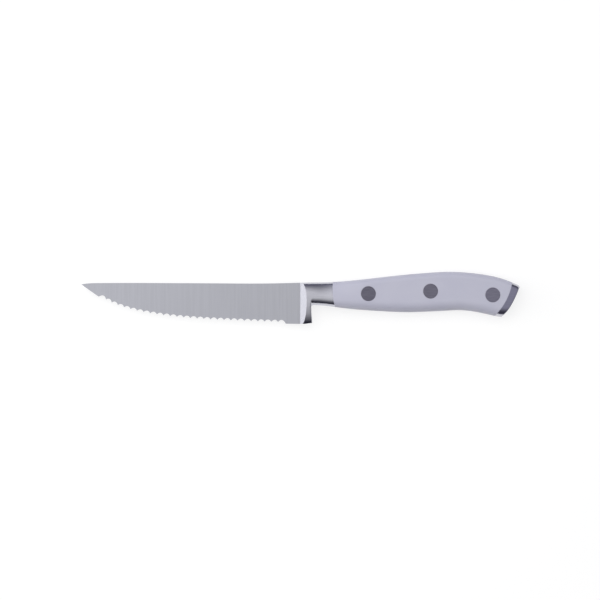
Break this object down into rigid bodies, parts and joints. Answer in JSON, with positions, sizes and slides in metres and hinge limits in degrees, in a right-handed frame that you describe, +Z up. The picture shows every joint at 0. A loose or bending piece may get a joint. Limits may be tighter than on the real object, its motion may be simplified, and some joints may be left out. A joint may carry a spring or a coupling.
{
  "type": "steak knife",
  "caption": "Forged steak knife with a scalloped edge, finger guard, full tang, riveted white scales and a steel butt cap, lying on its right side.",
  "frame": {"origin": "on the surface the knife lies on, under the middle of its length and depth", "axes": "+X along the knife from the point to the butt, +Y from the edge towards the spine, +Z up through the thickness, out of the left side"},
  "size_m": [0.2368, 0.0282, 0.013],
  "materials": {
    "blade_steel": "cross-brushed satin on the blade, polished on the bolster",
    "rivet_steel": "ground flush, dull",
    "cap_steel": "satin",
    "white_plastic": "moulded, satin gloss"
  },
  "bodies": {
    "root": {"blade": "blade_steel", "left_scale": "white_plastic", "right_scale": "white_plastic", "front_rivet_pin": "rivet_steel", "front_rivet_tube": "rivet_steel", "middle_rivet_pin": "rivet_steel", "middle_rivet_tube": "rivet_steel", "rear_rivet_pin": "rivet_steel", "rear_rivet_tube": "rivet_steel", "butt_cap": "cap_steel"}
  },
  "joints": []
}
